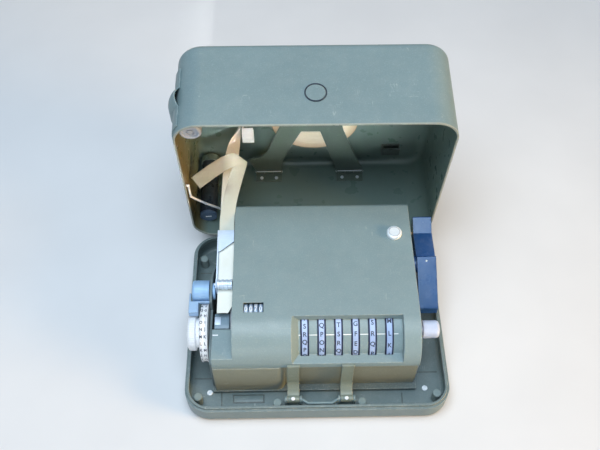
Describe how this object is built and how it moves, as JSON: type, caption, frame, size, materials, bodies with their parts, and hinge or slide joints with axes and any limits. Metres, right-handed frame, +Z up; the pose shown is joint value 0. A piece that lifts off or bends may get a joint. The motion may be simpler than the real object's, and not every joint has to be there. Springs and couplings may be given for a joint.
{
  "type": "pinwheel cipher machine",
  "caption": "Hand-cranked pinwheel cipher machine in an olive metal case with a hinged lid, paper reel, lettered key wheels under a hinged inner cover, side handle and setting knob.",
  "frame": {"origin": "centre of the base's flat underside, on the surface that it stands on", "axes": "+X to the operator's right, +Y away from the operator, +Z up"},
  "size_m": [0.1825, 0.2055, 0.1628],
  "materials": {
    "olive_paint": "semi-matt olive drab enamel",
    "dark_olive": "darker olive enamel",
    "nickel_plate": "satin nickel plate",
    "steel": "brushed steel",
    "bright_wire": "polished wire",
    "ivory_knob": "pale satin alloy",
    "black_gloss": "glossy black",
    "brass": "machined brass",
    "counter_black": "black wheels with pale figures",
    "bumper_rubber": "olive rubber",
    "ink_felt": "inked felt",
    "paper": "cream paper tape"
  },
  "bodies": {
    "base": {"case_base": "olive_paint", "base_hinge_leaves": "dark_olive", "base_bumpers": "bumper_rubber", "chassis_plate": "olive_paint", "front_apron": "olive_paint", "left_plate": "nickel_plate", "middle_plate": "steel", "right_plate": "steel", "wheel_shaft": "steel", "guide_arm_shaft": "steel", "paper_chute": "nickel_plate", "counter_frame": "steel", "cover_hinge_lugs": "olive_paint", "lock_bail": "olive_paint", "paper_tape": "paper"},
    "lid": {"case_lid": "olive_paint", "lid_hinge_leaves": "dark_olive", "strap_loop": "olive_paint", "lock_bezel": "black_gloss", "reel_hinge_leaves": "olive_paint", "tape_guide": "nickel_plate", "box_clip": "dark_olive", "retaining_wire": "bright_wire"},
    "lock_button": {"lock_button": "olive_paint"},
    "reel": {"reel_bracket": "olive_paint"},
    "roll": {"paper_roll": "paper"},
    "oil_can": {"oil_can": "nickel_plate"},
    "ink_can": {"ink_can": "black_gloss"},
    "cover": {"inner_cover": "olive_paint", "cover_hinge_arms": "olive_paint"},
    "latch": {"cover_latch_knob": "ivory_knob"},
    "drive": {"cage": "steel", "slide_bars": "nickel_plate", "drive_handle": "black_gloss"},
    "intermediate": {"intermediate_gear": "brass"},
    "setting": {"setting_shaft": "steel", "setting_knob": "ivory_knob", "indicator_disk": "ivory_knob", "type_wheel": "steel"},
    "mode": {"encipher_knob": "nickel_plate"},
    "hammer": {"print_arm": "steel"},
    "feed": {"feed_roller": "nickel_plate"},
    "ink": {"ink_roller": "ink_felt"},
    "reset": {"reset_knob": "ivory_knob"},
    "key_wheel_1": {"key_wheel_1": "steel"},
    "guide_arm_1": {"guide_arm_1": "steel"},
    "key_wheel_2": {"key_wheel_2": "steel"},
    "guide_arm_2": {"guide_arm_2": "steel"},
    "key_wheel_3": {"key_wheel_3": "steel"},
    "guide_arm_3": {"guide_arm_3": "steel"},
    "key_wheel_4": {"key_wheel_4": "steel"},
    "guide_arm_4": {"guide_arm_4": "steel"},
    "key_wheel_5": {"key_wheel_5": "steel"},
    "guide_arm_5": {"guide_arm_5": "steel"},
    "key_wheel_6": {"key_wheel_6": "steel"},
    "guide_arm_6": {"guide_arm_6": "steel"},
    "counter_1": {"counter_wheel_1": "counter_black"},
    "counter_2": {"counter_wheel_2": "counter_black"},
    "counter_3": {"counter_wheel_3": "counter_black"},
    "counter_4": {"counter_wheel_4": "counter_black"}
  },
  "joints": [
    {"name": "lid_hinge", "type": "hinge", "parent": "base", "child": "lid", "pos_m": [0, 0.0707, 0.0165], "axis": [-1, 0, 0], "range_deg": [-83.8, 0], "deforming": ["paper_tape"]},
    {"name": "cover_hinge", "type": "hinge", "parent": "base", "child": "cover", "pos_m": [0, -0.0605, 0.012], "axis": [1, 0, 0], "range_deg": [0, 100]},
    {"name": "latch_turn", "type": "hinge", "parent": "cover", "child": "latch", "pos_m": [0.0544, 0.0364, 0.065], "axis": [0, 0, 1], "range_deg": [0, 90]},
    {"name": "lock_press", "type": "slide", "parent": "lid", "child": "lock_button", "axis": [0, 0.108, -0.9942], "range_m": [0, 0.002], "stiffness_N_per_m": 900, "springref_m": -0.0005},
    {"name": "reel_swing", "type": "hinge", "parent": "lid", "child": "reel", "pos_m": [0, 0.12363, 0.02647], "axis": [1, 0, 0], "range_deg": [0, 40]},
    {"name": "roll_spin", "type": "hinge", "parent": "reel", "child": "roll", "pos_m": [0.002, 0.12265, 0.08924], "axis": [0, 0.9942, 0.108], "continuous": true},
    {"name": "oil_can_pull", "type": "slide", "parent": "lid", "child": "oil_can", "axis": [0, -0.9942, -0.108], "range_m": [0, 0.05]},
    {"name": "ink_can_pull", "type": "slide", "parent": "lid", "child": "ink_can", "axis": [0, -0.9942, -0.108], "range_m": [0, 0.04]},
    {"name": "drive_turn", "type": "hinge", "parent": "base", "child": "drive", "pos_m": [0, 0.0285, 0.038], "axis": [1, 0, 0], "continuous": true},
    {"name": "setting_turn", "type": "hinge", "parent": "base", "child": "setting", "pos_m": [0, -0.023, 0.038], "axis": [1, 0, 0], "continuous": true},
    {"name": "intermediate_turn", "type": "hinge", "parent": "base", "child": "intermediate", "pos_m": [0, -0.003, 0.038], "axis": [1, 0, 0], "continuous": true},
    {"name": "mode_turn", "type": "hinge", "parent": "base", "child": "mode", "pos_m": [-0.075, 0, 0.053], "axis": [1, 0, 0], "range_deg": [0, 180]},
    {"name": "print_press", "type": "hinge", "parent": "base", "child": "hammer", "pos_m": [-0.059, 0.008, 0.044], "axis": [1, 0, 0], "range_deg": [0, 8], "stiffness_Nm_per_rad": 0.02, "springref_deg": -11.46},
    {"name": "feed_spin", "type": "hinge", "parent": "base", "child": "feed", "pos_m": [-0.0617, 0.0014, 0.05948], "axis": [1, 0, 0], "continuous": true},
    {"name": "ink_spin", "type": "hinge", "parent": "base", "child": "ink", "pos_m": [-0.063, -0.03564, 0.0321], "axis": [1, 0, 0], "continuous": true},
    {"name": "reset_turn", "type": "hinge", "parent": "base", "child": "reset", "pos_m": [0, -0.023, 0.038], "axis": [1, 0, 0], "continuous": true},
    {"name": "key_wheel_1_turn", "type": "hinge", "parent": "base", "child": "key_wheel_1", "pos_m": [0, -0.023, 0.038], "axis": [1, 0, 0], "continuous": true},
    {"name": "guide_arm_1_rock", "type": "hinge", "parent": "base", "child": "guide_arm_1", "pos_m": [0, 0, 0.015], "axis": [1, 0, 0], "range_deg": [0, 6], "stiffness_Nm_per_rad": 0.02, "springref_deg": -8.59},
    {"name": "key_wheel_2_turn", "type": "hinge", "parent": "base", "child": "key_wheel_2", "pos_m": [0, -0.023, 0.038], "axis": [1, 0, 0], "continuous": true},
    {"name": "guide_arm_2_rock", "type": "hinge", "parent": "base", "child": "guide_arm_2", "pos_m": [0, 0, 0.015], "axis": [1, 0, 0], "range_deg": [0, 6], "stiffness_Nm_per_rad": 0.02, "springref_deg": -8.59},
    {"name": "key_wheel_3_turn", "type": "hinge", "parent": "base", "child": "key_wheel_3", "pos_m": [0, -0.023, 0.038], "axis": [1, 0, 0], "continuous": true},
    {"name": "guide_arm_3_rock", "type": "hinge", "parent": "base", "child": "guide_arm_3", "pos_m": [0, 0, 0.015], "axis": [1, 0, 0], "range_deg": [0, 6], "stiffness_Nm_per_rad": 0.02, "springref_deg": -8.59},
    {"name": "key_wheel_4_turn", "type": "hinge", "parent": "base", "child": "key_wheel_4", "pos_m": [0, -0.023, 0.038], "axis": [1, 0, 0], "continuous": true},
    {"name": "guide_arm_4_rock", "type": "hinge", "parent": "base", "child": "guide_arm_4", "pos_m": [0, 0, 0.015], "axis": [1, 0, 0], "range_deg": [0, 6], "stiffness_Nm_per_rad": 0.02, "springref_deg": -8.59},
    {"name": "key_wheel_5_turn", "type": "hinge", "parent": "base", "child": "key_wheel_5", "pos_m": [0, -0.023, 0.038], "axis": [1, 0, 0], "continuous": true},
    {"name": "guide_arm_5_rock", "type": "hinge", "parent": "base", "child": "guide_arm_5", "pos_m": [0, 0, 0.015], "axis": [1, 0, 0], "range_deg": [0, 6], "stiffness_Nm_per_rad": 0.02, "springref_deg": -8.59},
    {"name": "key_wheel_6_turn", "type": "hinge", "parent": "base", "child": "key_wheel_6", "pos_m": [0, -0.023, 0.038], "axis": [1, 0, 0], "continuous": true},
    {"name": "guide_arm_6_rock", "type": "hinge", "parent": "base", "child": "guide_arm_6", "pos_m": [0, 0, 0.015], "axis": [1, 0, 0], "range_deg": [0, 6], "stiffness_Nm_per_rad": 0.02, "springref_deg": -8.59},
    {"name": "counter_1_turn", "type": "hinge", "parent": "base", "child": "counter_1", "pos_m": [0, -0.0192, 0.0572], "axis": [1, 0, 0], "continuous": true},
    {"name": "counter_2_turn", "type": "hinge", "parent": "base", "child": "counter_2", "pos_m": [0, -0.0192, 0.0572], "axis": [1, 0, 0], "continuous": true},
    {"name": "counter_3_turn", "type": "hinge", "parent": "base", "child": "counter_3", "pos_m": [0, -0.0192, 0.0572], "axis": [1, 0, 0], "continuous": true},
    {"name": "counter_4_turn", "type": "hinge", "parent": "base", "child": "counter_4", "pos_m": [0, -0.0192, 0.0572], "axis": [1, 0, 0], "continuous": true}
  ],
  "couplings": [
    {"joint": "intermediate_turn", "follows": "setting_turn", "ratio": -1.8571},
    {"joint": "key_wheel_1_turn", "follows": "drive_turn", "ratio": 0.038462},
    {"joint": "key_wheel_2_turn", "follows": "drive_turn", "ratio": 0.04},
    {"joint": "key_wheel_3_turn", "follows": "drive_turn", "ratio": 0.043478},
    {"joint": "key_wheel_4_turn", "follows": "drive_turn", "ratio": 0.047619},
    {"joint": "key_wheel_5_turn", "follows": "drive_turn", "ratio": 0.052632},
    {"joint": "key_wheel_6_turn", "follows": "drive_turn", "ratio": 0.058824},
    {"joint": "counter_1_turn", "follows": "drive_turn", "ratio": 0.0001},
    {"joint": "counter_2_turn", "follows": "drive_turn", "ratio": 0.001},
    {"joint": "counter_3_turn", "follows": "drive_turn", "ratio": 0.01},
    {"joint": "counter_4_turn", "follows": "drive_turn", "ratio": 0.1}
  ]
}
